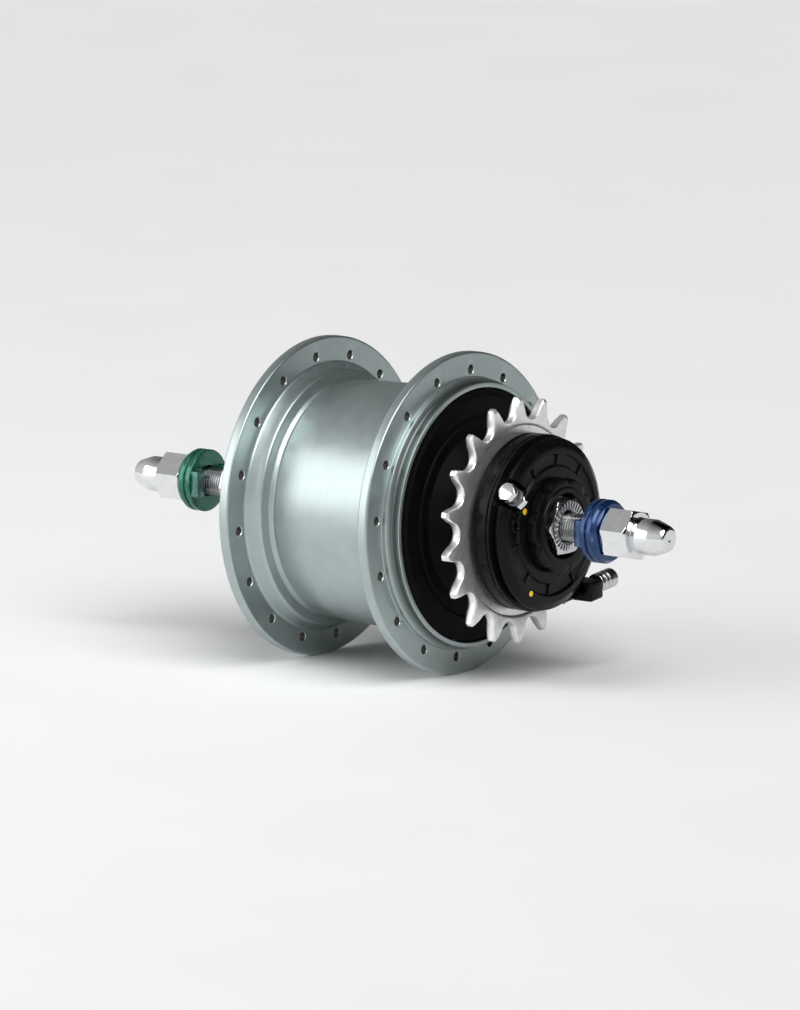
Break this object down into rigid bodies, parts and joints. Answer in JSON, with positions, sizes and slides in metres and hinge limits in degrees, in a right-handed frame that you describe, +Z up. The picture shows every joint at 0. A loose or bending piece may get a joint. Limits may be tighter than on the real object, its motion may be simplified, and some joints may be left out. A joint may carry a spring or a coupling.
{
  "type": "bicycle hub gear",
  "caption": "Internally geared rear bicycle hub with two spoke flanges, one sprocket, a cable-worked cassette joint and planetary gears inside the shell.",
  "frame": {"origin": "middle of the hub on the axle's centre line, halfway between the two locknut faces", "axes": "+Y along the axle to the bicycle's left, which is the brake side; +X to the bicycle's front; +Z up; the sprocket is on the -Y side"},
  "size_m": [0.104, 0.213, 0.104],
  "materials": {
    "shell_alloy": "satin silver with a green-grey cast, fine turned grain",
    "sprocket_steel": "zinc-plated steel",
    "axle_steel": "turned steel with rolled thread",
    "gear_steel": "hardened, lightly oiled",
    "bearing_steel": "ground",
    "driver_steel": "phosphated, oiled",
    "locknut_steel": "zinc-plated",
    "nut_chrome": "bright chrome",
    "clutch_bronze": "plain",
    "black_plastic": "moulded, semi-gloss",
    "dust_cap_black": "matt black",
    "seal_rubber": "matt",
    "washer_blue": "deep blue coating, glossy",
    "washer_green": "green coating, glossy"
  },
  "bodies": {
    "axle": {"axle": "axle_steel", "left_cone": "bearing_steel", "right_cone": "bearing_steel", "left_spacer": "bearing_steel", "right_spacer": "bearing_steel", "left_locknut": "locknut_steel", "right_locknut": "locknut_steel", "left_non_turn_washer": "washer_green", "right_non_turn_washer": "washer_blue", "left_cap_nut": "nut_chrome", "right_cap_nut": "nut_chrome", "low_sun_gear": "gear_steel", "high_sun_gear": "gear_steel", "cable_bracket": "black_plastic", "cable_stop": "locknut_steel", "fixing_ring": "black_plastic"},
    "driver": {"driver": "driver_steel", "sprocket": "sprocket_steel", "snap_ring": "bearing_steel", "drive_side_dust_cap": "dust_cap_black", "low_ring_gear": "gear_steel", "driver_ball_ring": "bearing_steel"},
    "carrier": {"planet_carrier": "gear_steel", "planet_pin_1": "gear_steel", "planet_pin_2": "gear_steel", "planet_pin_3": "gear_steel"},
    "low_planet_1": {"low_planet_1": "gear_steel"},
    "low_planet_2": {"low_planet_2": "gear_steel"},
    "low_planet_3": {"low_planet_3": "gear_steel"},
    "high_planet_1": {"high_planet_1": "gear_steel"},
    "high_planet_2": {"high_planet_2": "gear_steel"},
    "high_planet_3": {"high_planet_3": "gear_steel"},
    "small_idle_sun": {"small_idle_sun": "gear_steel"},
    "large_idle_sun": {"large_idle_sun": "gear_steel"},
    "output_ring": {"high_ring_gear": "gear_steel", "clutch_cam": "bearing_steel", "clutch_cage": "clutch_bronze", "clutch_roller_1": "bearing_steel", "clutch_roller_2": "bearing_steel", "clutch_roller_3": "bearing_steel", "clutch_roller_4": "bearing_steel", "clutch_roller_5": "bearing_steel", "clutch_roller_6": "bearing_steel"},
    "shell": {"hub_shell": "shell_alloy", "left_ball_ring": "bearing_steel", "right_ball_ring": "bearing_steel", "left_seal": "seal_rubber"},
    "shifter": {"cable_pulley": "black_plastic", "shift_sleeve": "gear_steel", "cable_clamp_bolt": "nut_chrome"}
  },
  "joints": [
    {"name": "driver_spin", "type": "hinge", "parent": "axle", "child": "driver", "pos_m": [0, 0, 0], "axis": [0, 1, 0], "continuous": true},
    {"name": "carrier_spin", "type": "hinge", "parent": "axle", "child": "carrier", "pos_m": [0, 0, 0], "axis": [0, 1, 0], "continuous": true},
    {"name": "low_planet_1_spin", "type": "hinge", "parent": "carrier", "child": "low_planet_1", "pos_m": [0, 0, 0.01875], "axis": [0, 1, 0], "continuous": true},
    {"name": "low_planet_2_spin", "type": "hinge", "parent": "carrier", "child": "low_planet_2", "pos_m": [-0.01624, 0, -0.00937], "axis": [0, 1, 0], "continuous": true},
    {"name": "low_planet_3_spin", "type": "hinge", "parent": "carrier", "child": "low_planet_3", "pos_m": [0.01624, 0, -0.00937], "axis": [0, 1, 0], "continuous": true},
    {"name": "high_planet_1_spin", "type": "hinge", "parent": "carrier", "child": "high_planet_1", "pos_m": [0, 0, 0.01875], "axis": [0, 1, 0], "continuous": true},
    {"name": "high_planet_2_spin", "type": "hinge", "parent": "carrier", "child": "high_planet_2", "pos_m": [-0.01624, 0, -0.00937], "axis": [0, 1, 0], "continuous": true},
    {"name": "high_planet_3_spin", "type": "hinge", "parent": "carrier", "child": "high_planet_3", "pos_m": [0.01624, 0, -0.00937], "axis": [0, 1, 0], "continuous": true},
    {"name": "small_idle_sun_spin", "type": "hinge", "parent": "axle", "child": "small_idle_sun", "pos_m": [0, 0, 0], "axis": [0, 1, 0], "continuous": true},
    {"name": "large_idle_sun_spin", "type": "hinge", "parent": "axle", "child": "large_idle_sun", "pos_m": [0, 0, 0], "axis": [0, 1, 0], "continuous": true},
    {"name": "output_spin", "type": "hinge", "parent": "axle", "child": "output_ring", "pos_m": [0, 0, 0], "axis": [0, 1, 0], "continuous": true},
    {"name": "freewheel", "type": "hinge", "parent": "output_ring", "child": "shell", "pos_m": [0, 0, 0], "axis": [0, 1, 0], "continuous": true},
    {"name": "gear_shift", "type": "hinge", "parent": "axle", "child": "shifter", "pos_m": [0, -0.058, 0], "axis": [0, 1, 0], "range_deg": [-54, 72]}
  ],
  "couplings": [
    {"joint": "carrier_spin", "follows": "driver_spin", "ratio": 0.53333},
    {"joint": "low_planet_1_spin", "follows": "driver_spin", "ratio": 1.2444},
    {"joint": "low_planet_2_spin", "follows": "driver_spin", "ratio": 1.2444},
    {"joint": "low_planet_3_spin", "follows": "driver_spin", "ratio": 1.2444},
    {"joint": "high_planet_1_spin", "follows": "driver_spin", "ratio": 1.2444},
    {"joint": "high_planet_2_spin", "follows": "driver_spin", "ratio": 1.2444},
    {"joint": "high_planet_3_spin", "follows": "driver_spin", "ratio": 1.2444},
    {"joint": "small_idle_sun_spin", "follows": "driver_spin", "ratio": -1.3333},
    {"joint": "large_idle_sun_spin", "follows": "driver_spin", "ratio": -0.2963},
    {"joint": "output_spin", "follows": "driver_spin", "ratio": 0.88889}
  ]
}
